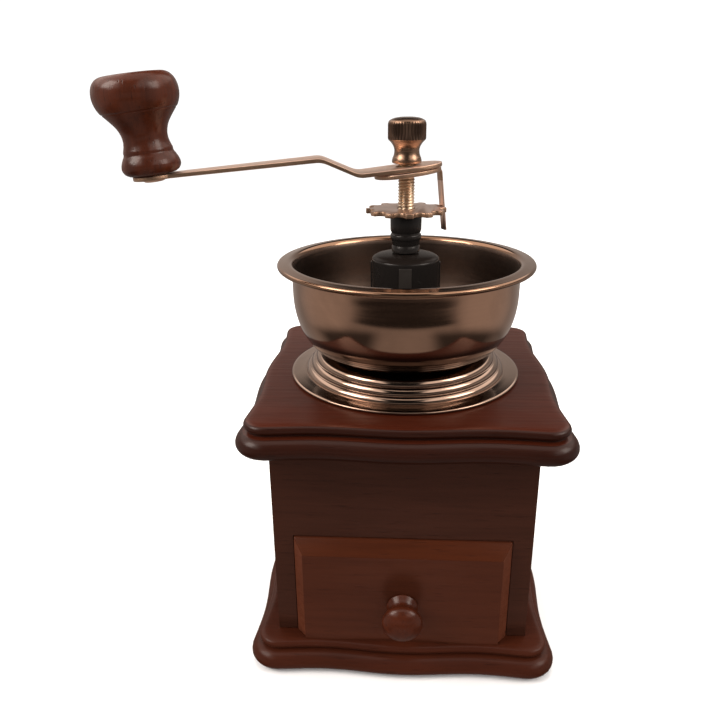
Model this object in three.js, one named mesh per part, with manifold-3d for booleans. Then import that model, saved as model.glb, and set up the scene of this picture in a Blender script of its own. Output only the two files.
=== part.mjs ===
// A hand-cranked burr coffee grinder: a wooden box with a drawer, an open steel bowl on a stepped
// ring, a conical burr set under the bowl, and a crank with a turned handle on a threaded shaft.
// Units are millimetres, +Z is up. The origin is the centre of the base board's underside, on the
// shaft's axis. The drawer faces -Y.
import * as THREE from 'three';
import { mergeVertices } from 'three/addons/utils/BufferGeometryUtils.js';
import Module from 'manifold-3d';

const wasm = await Module();
wasm.setup();

// ---------- driving dimensions ----------
const GAP = 0.3;                    // clearance between touching pieces

const BOARD = {
  half: 65,                         // half width of the lower, rounded tier at mid-wave
  wave: 0.95,                       // height of the shallow wave along each edge
  waveLength: 64,                   // one bulge in the middle, one at each corner
  corner: 7.5,                      // plan radius of a corner
  height: 14.5,
  noseHeight: 9.7,                  // full-round lower tier
  lipInset: 3.6,                    // upper tier, set back from the nose
  lipHeight: 3.6,
  lipRound: 1.4,
  grooveInset: 4.5,                 // dark groove between the two tiers
};
const BODY_HALF = 53;               // the box is 106 mm square
const BODY_TOP = 101.9;
const PANEL = 8;                    // thickness of the box's four panels
const TOP_BOARD = {
  half: 65.5,                       // a little wider than the base
  shift: 0.6,                       // and set a little to the right
  top: BODY_TOP + BOARD.height,
  throat: 23,                       // radius of the hole for the burr housing
};

const DRAWER = {
  half: 44.5,                       // half width of the drawer front
  bottom: BOARD.height + GAP,
  top: 62,
  proud: 5.8,                       // how far the front stands out of the box
  bevel: 4.5,                       // at the two sides; the bottom edge is square
  topBevel: 5.8,
  frontThickness: 13,
  wall: 5,
  floor: 3,
  sideHeight: 36,
  back: 40,                         // y of the drawer's back face
};
const KNOB = {
  x: 0.4,
  z: 33.0,
  ball: 8.2,                        // radius of the ball across the knob's axis
  flat: 4.6,                        // and along it
  neck: 4.6,
  base: 6.6,
  length: 14.4,
};

const BOWL = {
  bottom: 127.8,
  top: 166.8,
  rim: 54.5,                        // outer radius of the rolled rim
  wall: 48.3,                       // outer radius of the straight side
  flat: 33.4,                       // radius of the flat bottom
  curve: 26,                        // height of the curve from the bottom to the side
  sheet: 1.0,
  hole: 16.5,
};
const RING = {
  outer: 50.2,                      // the flat foot lying on the top board
  bottom: TOP_BOARD.top + GAP,
  top: BOWL.bottom - GAP,
  sheet: 1.2,
  hole: 21,
  stepRadius: 43.6,                 // outer radius of the lowest of three rolled steps
  stepBack: 2.2,
  stepRise: 2.8,
  stepRound: 2.4,
};

const SCREW_CIRCLE = 26;            // radius of the bridge's screw circle
const SCREW_ANGLES = [30, 150, 270];
const SCREW_HOLE = 2.1;             // radius of the holes they pass through
const BRIDGE = {
  radius: 14.4,
  inner: 12.0,
  top: 168.6,
  bottom: BOWL.bottom + BOWL.sheet + GAP,
  flange: 29.5,
  flangeHeight: 2.2,
};

const SHAFT_RADIUS = 3.5;
const DISC = {
  radius: 16.7,
  bottom: 186.0,
  thickness: 1.9,
  notches: 12,
  notchRadius: 2.6,
  azimuth: 20,                      // a notch points this way, and the lock plate's tab is in it
};

const CRANK = {
  azimuth: 8,                       // degrees the arm swings from -X towards -Y at rest
  tilt: 6.0,                        // degrees the hub drops towards the handle
  height: 203.0,                    // where the plates meet on the shaft's axis
  plate: 1.7,                       // thickness of the arm and of the lock plate
  bore: 4.3,                        // radius of the hole in each for the shaft
  hub: 10.5,                        // half width of the rounded hub end
  hubBack: 14.6,                    // reach of the hub end behind the axis
  half: 5.2,                        // half width of the arm where it narrows before the handle
  eye: 8.2,                         // radius of the arm's round end under the handle
  eyeNeck: 90,                      // where the arm starts to widen into it
  joggle: [20, 34],                 // where the upward joggle starts and ends
  rise: 7.8,
  reach: 100.6,                     // shaft axis to handle axis
  ease: 1.15,                       // the outer arm drops less than the hub, by this much in all
  handleLean: 0.5,                  // the handle leans outwards from square by this many degrees
};

const LOCK = {
  turn: 13.5,                       // degrees the lock plate sits turned from the arm
  front: 3,                         // centre of the plate's rounded front end, towards the arm
  tab: 0.9,                         // thickness of the tab that hangs into the star disc's notch
  tabHalf: 2.1,
  tabReach: 14.9,                   // from the shaft's axis to the tab's outer face
  tabLength: 26.6,
};

const PIN = { shank: 2.3, length: 24, head: 4.2 };

// ---------- helpers ----------
const radians = THREE.MathUtils.degToRad;

function solid(geometry) {
  const bare = geometry.index ? geometry.toNonIndexed() : geometry.clone();
  bare.deleteAttribute('normal');
  bare.deleteAttribute('uv');
  const merged = mergeVertices(bare, 1e-4);
  return new wasm.Manifold(new wasm.Mesh({
    numProp: 3,
    vertProperties: new Float32Array(merged.attributes.position.array),
    triVerts: new Uint32Array(merged.index.array),
  }));
}

function fromSolid(body) {
  const mesh = body.getMesh();
  const geometry = new THREE.BufferGeometry();
  geometry.setAttribute('position', new THREE.BufferAttribute(mesh.vertProperties, 3));
  geometry.setIndex(new THREE.BufferAttribute(mesh.triVerts, 1));
  geometry.computeVertexNormals();
  return geometry;
}

function cut(geometry, ...cutters) {
  return fromSolid(cutters.reduce((body, cutter) => body.subtract(solid(cutter)), solid(geometry)));
}

function join(geometry, ...others) {
  return fromSolid(others.reduce((body, other) => body.add(solid(other)), solid(geometry)));
}

function box(x0, x1, y0, y1, z0, z1) {
  return new THREE.BoxGeometry(x1 - x0, y1 - y0, z1 - z0)
    .translate((x0 + x1) / 2, (y0 + y1) / 2, (z0 + z1) / 2);
}

function cylinder(radius, z0, z1, segments = 24) {
  return new THREE.CylinderGeometry(radius, radius, z1 - z0, segments)
    .rotateX(Math.PI / 2)
    .translate(0, 0, (z0 + z1) / 2);
}

// A solid of revolution about Z from [radius, height] points that run upwards on the outside.
function lathe(points, segments = 32) {
  const profile = points.map(([r, z]) => new THREE.Vector2(r, z));
  return new THREE.LatheGeometry(profile, segments).rotateX(Math.PI / 2);
}

function closedLathe(points, segments = 32) {
  return lathe([...points, points[0]], segments);
}

// Points of an arc about (cx, cz), from one angle to another in degrees.
function arc(cx, cz, radius, from, to, steps) {
  return Array.from({ length: steps + 1 }, (_, i) => {
    const angle = radians(from + (to - from) * i / steps);
    return [cx + radius * Math.cos(angle), cz + radius * Math.sin(angle)];
  });
}

function part(name, geometry, color, roughness, metalness) {
  const mesh = new THREE.Mesh(geometry, new THREE.MeshStandardMaterial({ color, roughness, metalness }));
  mesh.name = name;
  return mesh;
}

const wood = (name, geometry) => part(name, geometry, 0x5a2a1e, 0.35, 0);
const rawWood = (name, geometry) => part(name, geometry, 0x8a6242, 0.7, 0);
const bronze = (name, geometry) => part(name, geometry, 0x87695a, 0.25, 1);
const steel = (name, geometry) => part(name, geometry, 0xa8998c, 0.4, 1);
const plastic = (name, geometry) => part(name, geometry, 0x191614, 0.3, 0);

const model = new THREE.Group();

// ---------- boards ----------
function edgeHalf(t, half) {
  return half + BOARD.wave * Math.cos(2 * Math.PI * t / BOARD.waveLength);
}

// The wavy square outline of a board tier, as a shape with rounded corners.
function boardShape(half) {
  const corner = BOARD.corner;
  const reach = half - corner;
  const steps = 8;
  const shape = new THREE.Shape();
  const points = [];
  for (let side = 0; side < 4; side++) {
    const turn = side * Math.PI / 2;
    const place = (x, y) => points.push(new THREE.Vector2(
      x * Math.cos(turn) - y * Math.sin(turn), x * Math.sin(turn) + y * Math.cos(turn)));
    for (let i = 0; i <= steps; i++) {
      const t = -reach + 2 * reach * i / steps;
      place(edgeHalf(t, half), t);
    }
    const edge = edgeHalf(reach, half);
    for (let i = 1; i < 4; i++) {
      const angle = Math.PI / 8 * i;
      place(edge - corner + corner * Math.cos(angle), edge - corner + corner * Math.sin(angle));
    }
  }
  shape.setFromPoints(points);
  return shape;
}

function tier(half, z0, z1, round, segments) {
  return new THREE.ExtrudeGeometry(boardShape(half - round), {
    depth: z1 - z0 - 2 * round,
    bevelEnabled: round > 0,
    bevelThickness: round,
    bevelSize: round,
    bevelSegments: segments,
    steps: 1,
  }).translate(0, 0, z0 + round);
}

function board(z, half) {
  const nose = BOARD.noseHeight;
  const lipBottom = BOARD.height - BOARD.lipHeight;
  return join(
    tier(half, z, z + nose, nose / 2 - 0.05, 3),
    tier(half - BOARD.grooveInset, z + nose - 1, z + lipBottom + 1, 0, 1),
    tier(half - BOARD.lipInset, z + lipBottom, z + BOARD.height, BOARD.lipRound, 1),
  );
}

const baseScrewPlaces = [[-49, -30], [49, -30], [-49, 30], [49, 30]];
const baseScrew = { head: 3.4, shank: 1.6, tip: 32 };

function baseScrewSolid(grow) {
  const { head, shank, tip } = baseScrew;
  return lathe([
    [0, 0.6 - grow * 4],
    [head + grow, 0.6 - grow * 4],
    [head + grow, 0.9],
    [shank + grow, 3.2],
    [shank + grow, tip - 3 + grow],
    [0, tip + grow],
  ], 10);
}

const baseScrewHoles = baseScrewPlaces.map(([x, y]) => baseScrewSolid(GAP).translate(x, y, 0));
const throatHole = cylinder(TOP_BOARD.throat, BODY_TOP - 1, TOP_BOARD.top + 1, 32);

model.add(wood('base_board', cut(board(0, BOARD.half), ...baseScrewHoles)));
model.add(wood('top_board', cut(
  board(BODY_TOP, TOP_BOARD.half).translate(TOP_BOARD.shift, 0, 0),
  throatHole,
)));

baseScrewPlaces.forEach(([x, y], i) => {
  const screw = steel(`base_screw_${i + 1}`, baseScrewSolid(0));
  screw.position.set(x, y, 0);
  model.add(screw);
});

// ---------- box ----------
const boxBottom = BOARD.height + GAP;
const boxTop = BODY_TOP - GAP;
const inner = BODY_HALF - PANEL;
const drawerOpeningTop = DRAWER.top + 0.6;

model.add(wood('front_panel', cut(
  box(-BODY_HALF, BODY_HALF, -BODY_HALF, -inner - GAP, boxBottom, boxTop),
  box(-inner, inner, -BODY_HALF - 1, -inner + 1, boxBottom - 1, drawerOpeningTop),
)));
model.add(wood('back_panel', box(-BODY_HALF, BODY_HALF, inner + GAP, BODY_HALF, boxBottom, boxTop)));
for (const [name, side] of [['left_panel', -1], ['right_panel', 1]]) {
  const near = side > 0 ? inner : -BODY_HALF;
  model.add(wood(name, cut(box(near, near + PANEL, -inner, inner, boxBottom, boxTop), ...baseScrewHoles)));
}

const RUNNER = { width: 6, height: 6 };
for (const [name, side] of [['drawer_runner_left', -1], ['drawer_runner_right', 1]]) {
  const outer = side * (inner - GAP);
  const z = DRAWER.bottom + 1 + DRAWER.sideHeight + 0.6;
  model.add(rawWood(name, box(
    Math.min(outer, outer - side * RUNNER.width), Math.max(outer, outer - side * RUNNER.width),
    -inner + 12, inner - 2, z, z + RUNNER.height)));
}

// ---------- drawer ----------
const drawer = new THREE.Group();
const frontFace = -BODY_HALF - DRAWER.proud;
const frontBack = frontFace + DRAWER.frontThickness;
const boxHalf = inner - 0.8;

// A slab whose front face is drawn in at the top and the two sides.
function raisedFront() {
  const { half, bevel, topBevel, bottom, top } = DRAWER;
  const shoulder = -BODY_HALF - 0.8;
  const field = box(-half, half, frontFace, shoulder, bottom, top);
  const place = field.attributes.position;
  for (let i = 0; i < place.count; i++) {
    if (place.getY(i) < shoulder - 0.1) {
      place.setX(i, Math.sign(place.getX(i)) * (half - bevel));
      place.setZ(i, Math.min(place.getZ(i), top - topBevel));
    }
  }
  return join(field, box(-half, half, shoulder - 0.01, frontBack, bottom, top));
}

const knobBore = new THREE.CylinderGeometry(2.1, 2.1, 30, 12).translate(KNOB.x, frontBack - 6, KNOB.z);
drawer.add(wood('drawer_front', cut(raisedFront(), knobBore)));

const sideBottom = DRAWER.bottom + 1;
const sideTop = sideBottom + DRAWER.sideHeight;
const drawerFloor = sideBottom + DRAWER.floor;
for (const [name, side] of [['drawer_side_left', -1], ['drawer_side_right', 1]]) {
  const near = side > 0 ? boxHalf - DRAWER.wall : -boxHalf;
  drawer.add(rawWood(name, box(
    near, near + DRAWER.wall, frontBack + GAP, DRAWER.back, sideBottom, sideTop)));
}
const between = boxHalf - DRAWER.wall - GAP;
drawer.add(rawWood('drawer_back', box(
  -between, between, DRAWER.back - DRAWER.wall, DRAWER.back, drawerFloor + GAP, sideTop)));
drawer.add(rawWood('drawer_bottom', box(
  -between, between, frontBack + GAP, DRAWER.back, sideBottom, drawerFloor)));

// The knob is turned about its own axis and points out of the drawer, along -Y.
function turnedKnob() {
  const { ball, flat, neck, base, length } = KNOB;
  const centre = length - flat;
  const crown = arc(0, 0, 1, -56, 82, 9).map(([c, s]) => [ball * c, centre + flat * s]);
  return lathe([
    [0, 0],
    [base, 0],
    [base, 1.6],
    [neck + 0.4, 2.2],
    [neck, centre - flat],
    ...crown,
    [0, length],
  ], 18);
}

const knobScrew = { head: 3.6, shank: 1.7 };
const knobPilot = cylinder(knobScrew.shank + GAP, -1, 9, 12);
const knob = wood('drawer_knob', cut(turnedKnob(), knobPilot));
knob.rotation.x = Math.PI / 2;
knob.position.set(KNOB.x, frontFace - GAP, KNOB.z);
drawer.add(knob);

const screwSeat = -DRAWER.frontThickness - 2 * GAP;
const knobScrewMesh = steel('drawer_knob_screw', lathe([
  [0, screwSeat - 2],
  [knobScrew.head * 0.7, screwSeat - 2],
  [knobScrew.head, screwSeat - 1],
  [knobScrew.head, screwSeat],
  [knobScrew.shank, screwSeat],
  [knobScrew.shank, 7.5],
  [0, 8.5],
], 12));
knobScrewMesh.rotation.x = Math.PI / 2;
knobScrewMesh.position.set(KNOB.x, frontFace, KNOB.z);
drawer.add(knobScrewMesh);
model.add(drawer);

// ---------- bowl and stepped ring ----------
const ringSteps = [0, 1, 2].map((i) => [
  RING.stepRadius - RING.stepBack * i,
  RING.bottom + RING.sheet + 0.3 + RING.stepRise * i,
]);

function screwHoles(radius, z0, z1) {
  return SCREW_ANGLES.map((angle) => cylinder(radius, z0, z1, 12).translate(
    SCREW_CIRCLE * Math.cos(radians(angle)), SCREW_CIRCLE * Math.sin(radians(angle)), 0));
}

const ringProfile = [
  [RING.outer, RING.bottom],
  [RING.outer, RING.bottom + 0.8],
  [RING.outer - 0.4, RING.bottom + RING.sheet],
  ...ringSteps.flatMap(([r, z]) => arc(r - RING.stepRound, z, RING.stepRound, 0, 80, 3)),
  [BOWL.flat + 0.6, RING.top],
  [RING.hole, RING.top],
  [RING.hole, RING.top - RING.sheet],
  [BOWL.flat - 0.4, RING.top - RING.sheet],
  ...ringSteps.toReversed().map(([r, z]) => [r - RING.stepRound, z]),
  [ringSteps[0][0] - RING.stepRound, RING.bottom],
];
model.add(bronze('stepped_ring', cut(
  closedLathe(ringProfile, 32),
  ...screwHoles(SCREW_HOLE, RING.bottom, RING.top + 1),
)));

// The bowl's side: a quarter ellipse from the flat bottom to the straight wall.
function bowlCurve(inset) {
  return arc(0, 0, 1, -90, 0, 8).map(([c, s]) => [
    BOWL.flat + (BOWL.wall - BOWL.flat - inset) * c,
    BOWL.bottom + BOWL.curve + (BOWL.curve - inset) * s,
  ]);
}

const bowlProfile = [
  [BOWL.hole, BOWL.bottom],
  ...bowlCurve(0),
  [BOWL.wall + 0.2, BOWL.top - 3.2],
  [BOWL.wall + 0.9, BOWL.top - 1.5],
  [BOWL.rim - 1.9, BOWL.top - 1.2],
  [BOWL.rim - 0.9, BOWL.top - 2.6],
  [BOWL.rim, BOWL.top - 2.4],
  [BOWL.rim, BOWL.top - 1.0],
  [BOWL.rim - 0.8, BOWL.top - 0.1],
  [BOWL.rim - 1.8, BOWL.top],
  [BOWL.wall + 1.1, BOWL.top - 0.3],
  [BOWL.wall - 0.3, BOWL.top - 1.2],
  [BOWL.wall - 0.9, BOWL.top - 3.2],
  ...bowlCurve(BOWL.sheet).reverse(),
  [BOWL.hole, BOWL.bottom + BOWL.sheet],
];
model.add(bronze('hopper_bowl', cut(
  closedLathe(bowlProfile, 36),
  ...screwHoles(SCREW_HOLE, BOWL.bottom - 1, BOWL.bottom + 3),
)));

// ---------- bearing bridge inside the bowl ----------
const bridgeWindow = { bottom: 133.6, top: 149, half: 7 };

function bridgeBody() {
  const { radius, inner: hollow, top, bottom, flange } = BRIDGE;
  const flangeTop = bottom + BRIDGE.flangeHeight;
  const shell = closedLathe([
    [hollow, bottom],
    [flange, bottom],
    [flange, flangeTop - 0.6],
    [flange - 0.6, flangeTop],
    [radius + 0.8, flangeTop],
    [radius, flangeTop + 1.0],
    [radius, top - 2.0],
    [radius - 0.7, top - 0.6],
    [radius - 2.2, top],
    [6.9, top + 0.7],
    [3.8, top + 0.7],
    [3.8, top - 5],
    [hollow - 1.2, top - 5],
    [hollow, top - 6.2],
  ], 32);
  const ribs = [-1, 1].map((side) => box(
    side * radius - 0.9, side * radius + 0.5, -1.2, 1.2, bottom + 2, top - 2.2));
  const windows = [90, 210, 330].map((angle) => box(
    radius - 6, radius + 1.4, -bridgeWindow.half, bridgeWindow.half,
    bridgeWindow.bottom, bridgeWindow.top).rotateZ(radians(angle)));
  const core = cylinder(hollow, bottom - 1, top - 6.2, 32);
  return cut(join(shell, ...ribs), core, ...windows, ...screwHoles(SCREW_HOLE, bottom - 1, bottom + 4));
}

model.add(plastic('bearing_bridge', bridgeBody()));

const sleeve = { bottom: BRIDGE.top + 0.7 + GAP, top: DISC.bottom - GAP, radius: 6.3, groove: 0.3 };
model.add(plastic('bearing_sleeve', closedLathe([
  [SHAFT_RADIUS + GAP, sleeve.bottom],
  [sleeve.radius, sleeve.bottom],
  ...[2.8, 6.0].flatMap((z) => [
    [sleeve.radius, sleeve.bottom + z],
    [sleeve.radius - sleeve.groove, sleeve.bottom + z + 0.4],
    [sleeve.radius - sleeve.groove, sleeve.bottom + z + 1.0],
    [sleeve.radius, sleeve.bottom + z + 1.4],
  ]),
  [sleeve.radius + sleeve.groove, sleeve.bottom + 8.2],
  [sleeve.radius + sleeve.groove, sleeve.top - 0.4],
  [sleeve.radius, sleeve.top],
  [SHAFT_RADIUS + GAP, sleeve.top],
], 24)));

// ---------- burr set ----------
const housing = {
  flange: 31,
  flangeHeight: 3.2,
  barrel: 22.5,
  bore: 20.3,
  bottom: 98,
  ledge: 17.6,                      // radius of the opening the outer burr stands on
  ledgeTop: 104,
  top: RING.top - RING.sheet - GAP,
};

model.add(steel('burr_housing', cut(closedLathe([
  [housing.ledge, housing.bottom],
  [housing.barrel, housing.bottom],
  [housing.barrel, housing.top - housing.flangeHeight],
  [housing.flange, housing.top - housing.flangeHeight],
  [housing.flange, housing.top],
  [housing.bore, housing.top],
  [housing.bore, housing.ledgeTop],
  [housing.ledge, housing.ledgeTop],
], 32), ...screwHoles(1.9, housing.top - 5, housing.top + 1))));

model.add(steel('housing_nut', cut(
  cylinder(28.5, housing.bottom - 1, BODY_TOP - GAP, 12),
  cylinder(housing.barrel + GAP, housing.bottom - 2, BODY_TOP + 1, 32),
)));

// Cuts the teeth of a burr: the radius swings in and out round the part, twisted with height.
function teeth(geometry, count, depth, twist, applies) {
  const place = geometry.attributes.position;
  for (let i = 0; i < place.count; i++) {
    const x = place.getX(i);
    const y = place.getY(i);
    const z = place.getZ(i);
    const r = Math.hypot(x, y);
    if (applies(r)) {
      const scale = 1 + depth / r * Math.cos(count * Math.atan2(y, x) + twist * z);
      place.setXY(i, x * scale, y * scale);
    }
  }
  return geometry;
}

const BURR = {
  outer: 20,
  bottom: housing.ledgeTop + GAP,
  top: housing.top - GAP,
  mouth: 16.6,                      // radius of the opening between the burrs at the bottom
  slope: 0.28,
  skirt: 6,                         // height of the fine-toothed skirt
  gap: 1.6,                         // between the burrs, at the coarse stop
  waist: 118,
  coneTop: 138,
};

model.add(steel('outer_burr', teeth(closedLathe([
  [BURR.mouth, BURR.bottom],
  [BURR.outer, BURR.bottom],
  [BURR.outer, BURR.top],
  [16.8, BURR.top],
  [15.6, BURR.waist],
  [BURR.mouth - BURR.skirt * BURR.slope, BURR.bottom + BURR.skirt],
], 54), 18, 0.35, 0.25, (r) => r < BURR.outer - 1)));

const coneBottom = BURR.bottom + 0.4;
model.add(steel('inner_burr', teeth(closedLathe([
  [SHAFT_RADIUS + GAP, coneBottom],
  [BURR.mouth - BURR.gap, coneBottom],
  [BURR.mouth - BURR.gap - BURR.skirt * BURR.slope, coneBottom + BURR.skirt],
  [11.6, BURR.waist],
  [8.4, BURR.waist + 10],
  [7.4, BURR.coneTop],
  [SHAFT_RADIUS + GAP, BURR.coneTop],
], 45), 9, 0.55, -0.32, (r) => r > 6)));

model.add(steel('burr_washer', closedLathe([
  [SHAFT_RADIUS + GAP, coneBottom - 2.1],
  [9, coneBottom - 2.1],
  [9, coneBottom - GAP],
  [SHAFT_RADIUS + GAP, coneBottom - GAP],
], 24)));
model.add(steel('burr_nut', cut(
  cylinder(6.4, coneBottom - 7.4, coneBottom - 2.4, 6),
  cylinder(SHAFT_RADIUS + GAP, coneBottom - 8, coneBottom - 2, 24),
)));

model.add(steel('shaft', lathe([
  [0, 95],
  [SHAFT_RADIUS - 0.6, 95],
  [SHAFT_RADIUS, 95.8],
  [SHAFT_RADIUS, 214],
  [SHAFT_RADIUS - 0.6, 214.8],
  [0, 214.8],
], 20)));

// A compression spring holds the shaft down, between the bridge and the inner burr.
class Helix extends THREE.Curve {
  constructor(radius, z0, z1, turns) {
    super();
    Object.assign(this, { radius, z0, z1, turns });
  }

  getPoint(t, target = new THREE.Vector3()) {
    const angle = t * this.turns * 2 * Math.PI;
    return target.set(
      this.radius * Math.cos(angle), this.radius * Math.sin(angle), this.z0 + (this.z1 - this.z0) * t);
  }
}

const SPRING = { radius: 5.6, wire: 0.6, bottom: BURR.coneTop + 1, top: 161.0, turns: 6 };
const wireSection = new THREE.Shape();
wireSection.absarc(0, 0, SPRING.wire, 0, 2 * Math.PI);
model.add(steel('spring', new THREE.ExtrudeGeometry(wireSection, {
  steps: SPRING.turns * 10,
  curveSegments: 2,
  extrudePath: new Helix(SPRING.radius, SPRING.bottom, SPRING.top, SPRING.turns),
})));

SCREW_ANGLES.forEach((angle, i) => {
  const head = BRIDGE.bottom + BRIDGE.flangeHeight + GAP;
  const screw = steel(`bridge_screw_${i + 1}`, lathe([
    [0, housing.top - 3],
    [1.6, housing.top - 3],
    [1.6, head],
    [3.2, head],
    [3.2, head + 1.0],
    [2.2, head + 2.0],
    [0, head + 2.3],
  ], 12));
  screw.position.set(SCREW_CIRCLE * Math.cos(radians(angle)), SCREW_CIRCLE * Math.sin(radians(angle)), 0);
  model.add(screw);
});

// ---------- star adjusting disc ----------
function starShape() {
  const { radius, notches, notchRadius } = DISC;
  const centre = radius - 0.3;
  const half = Math.acos((radius ** 2 + centre ** 2 - notchRadius ** 2) / (2 * radius * centre));
  const swing = Math.asin(radius * Math.sin(half) / notchRadius);
  const shape = new THREE.Shape();
  const points = [];
  for (let i = 0; i < notches; i++) {
    const middle = 2 * Math.PI * i / notches;
    for (let k = 0; k <= 4; k++) {
      const angle = middle + Math.PI + swing - 2 * swing * k / 4;
      points.push(new THREE.Vector2(
        centre * Math.cos(middle) + notchRadius * Math.cos(angle),
        centre * Math.sin(middle) + notchRadius * Math.sin(angle)));
    }
    const crest = middle + Math.PI / notches;
    points.push(new THREE.Vector2(radius * Math.cos(crest), radius * Math.sin(crest)));
  }
  shape.setFromPoints(points);
  shape.holes.push(new THREE.Path().absarc(0, 0, SHAFT_RADIUS + GAP, 0, 2 * Math.PI, true));
  return shape;
}

const disc = steel('star_disc', new THREE.ExtrudeGeometry(starShape(), {
  depth: DISC.thickness,
  bevelEnabled: false,
  curveSegments: 16,
}));
disc.position.z = DISC.bottom;
disc.rotation.z = radians(DISC.azimuth);
model.add(disc);

// ---------- crank ----------
// The crank's own frame: its origin is on the shaft's axis where the two plates meet, +X runs
// along the arm to the handle, and the whole frame is tilted so that the handle end is lower.
const crank = new THREE.Group();
crank.rotation.order = 'ZYX';
crank.rotation.set(0, radians(CRANK.tilt), radians(180 + CRANK.azimuth));
crank.position.z = CRANK.height;

// Half width of the arm at a distance from the shaft's axis.
function armHalf(s) {
  const taper = THREE.MathUtils.clamp((s - 4) / (CRANK.eyeNeck - 4), 0, 1) ** 0.8;
  return CRANK.hub + (CRANK.half - CRANK.hub) * taper;
}

function armLift(s) {
  const [from, to] = CRANK.joggle;
  const along = (start, end) => Math.max((s - start) / (end - start), 0);
  return CRANK.rise * Math.min(along(from, to), 1) + CRANK.ease * along(to, CRANK.reach);
}

// Outline of the arm or the lock plate: the hub end, edge points, and a round end about `tip`.
function plateOutline(edge, tip, radius) {
  const { hub, hubBack } = CRANK;
  const back = arc(0, 0, 1, 180, 90, 8).map(([c, s]) => [c * hubBack, s * hub]);
  const nose = arc(tip, 0, radius, radius < hub ? 138 : 78, 0, 8);
  const upper = [...back, ...edge.map((s) => [s, armHalf(s)]), ...nose];
  const lower = upper.slice(1, -1).reverse().map(([x, y]) => [x, -y]);
  return new THREE.Shape([...upper, ...lower].map(([x, y]) => new THREE.Vector2(x, y)));
}

// Flat outline cut as thin strips along X, then lifted to follow the joggle.
function armGeometry() {
  const { plate, joggle, reach, hubBack } = CRANK;
  const stations = [-hubBack - 1, joggle[0] - 1.5, joggle[0] + 1.5, joggle[1] - 1.5, joggle[1] + 1.5,
    reach + CRANK.eye + 1];
  const side = new THREE.Shape();
  const lower = stations.map((s) => new THREE.Vector2(s, armLift(s)));
  const upper = stations.map((s) => new THREE.Vector2(s, armLift(s) + plate)).reverse();
  side.setFromPoints([...lower, ...upper]);
  const strip = new THREE.ExtrudeGeometry(side, { depth: 2 * CRANK.hub + 2, bevelEnabled: false })
    .rotateX(Math.PI / 2)
    .translate(0, CRANK.hub + 1, 0);
  const armEdge = [4, 9, 14, 19, 24, 29, 34, 62, CRANK.eyeNeck];
  const outline = new THREE.ExtrudeGeometry(plateOutline(armEdge, reach, CRANK.eye), {
    depth: 40,
    bevelEnabled: false,
  }).translate(0, 0, -10);
  return fromSolid(solid(strip).intersect(solid(outline))
    .subtract(solid(cylinder(CRANK.bore, -5, 5, 28)))
    .subtract(solid(cylinder(PIN.shank + GAP, 0, 20, 20).translate(reach, 0, 0))));
}

const arm = steel('crank_arm', armGeometry());
arm.position.z = GAP / 2;
crank.add(arm);

function lockPlateGeometry() {
  const plate = new THREE.ExtrudeGeometry(plateOutline([LOCK.front], LOCK.front, CRANK.hub), {
    depth: CRANK.plate,
    bevelEnabled: false,
  }).translate(0, 0, -CRANK.plate);
  const { tab, tabHalf, tabReach, tabLength } = LOCK;
  const hook = box(-tabReach, tab - tabReach, -tabHalf, tabHalf, -tabLength, -CRANK.plate / 2);
  return cut(join(plate, hook), cylinder(CRANK.bore, -5, 5, 28));
}

const lockPlate = steel('lock_plate', lockPlateGeometry());
lockPlate.position.z = -GAP / 2;
lockPlate.rotation.z = radians(LOCK.turn);
crank.add(lockPlate);

// Turned handle: rounded foot, bead, waist and a wide mushroom head with a flat top.
const handleProfile = [
  [0, 0], [9.0, 0], [10.7, 1.2], [11.5, 3.2], [11.3, 5.2], [10.6, 6.8], [9.8, 8.4], [9.5, 9.4],
  [8.9, 11.2], [8.65, 13.4], [8.85, 15.6], [9.4, 17.2], [10.1, 18.5], [11.2, 20.0], [12.4, 21.5],
  [13.6, 23.0], [15.5, 25.8], [16.3, 28.4], [16.4, 30.4], [16.1, 32.6], [15.3, 34.6],
  [13.9, 36.3], [12.0, 37.1], [0, 37.1],
];
const pinBore = cylinder(PIN.shank + GAP, -1, PIN.length + GAP, 16);
const handle = wood('handle_knob', cut(lathe(handleProfile, 22), pinBore));
const handleFoot = CRANK.plate + GAP;
handle.position.z = handleFoot;

const pin = steel('handle_pin', lathe([
  [0, -1.1], [PIN.head * 0.7, -1.1], [PIN.head, -0.7], [PIN.head, -GAP], [PIN.shank, -GAP],
  [PIN.shank, handleFoot + PIN.length - GAP], [0, handleFoot + PIN.length - GAP],
], 16));

const grip = new THREE.Group();
grip.position.set(CRANK.reach, 0, CRANK.rise + CRANK.ease + GAP / 2);
grip.rotation.y = radians(CRANK.handleLean);
grip.add(handle, pin);
crank.add(grip);
model.add(crank);

// ---------- cap nut ----------
const nutBottom = 205.8;
const capNut = bronze('cap_nut', cut(lathe([
  [0, nutBottom],
  [5.6, nutBottom],
  [6.15, nutBottom + 0.8],
  [6.0, nutBottom + 1.8],
  [5.2, nutBottom + 3.4],
  [5.05, nutBottom + 5.2],
  [5.5, nutBottom + 6.9],
  [6.6, nutBottom + 8.4],
  [7.3, nutBottom + 9.0],
  [7.75, nutBottom + 9.8],
  [7.75, nutBottom + 15.2],
  [7.2, nutBottom + 16.4],
  [5.8, nutBottom + 17.3],
  [3.4, nutBottom + 17.8],
  [0, nutBottom + 17.9],
], 24), cylinder(SHAFT_RADIUS + GAP, nutBottom - 1, 215.2, 20)));
model.add(capNut);

export default model;
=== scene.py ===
# The looks of a hand-cranked burr coffee grinder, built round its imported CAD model.
# Shapes are given in millimetres and are turned into metres when a mesh is made. The lights, the
# camera and the materials' distances are in metres.
import math

import bmesh
import bpy
from mathutils import Matrix, Vector


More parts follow.
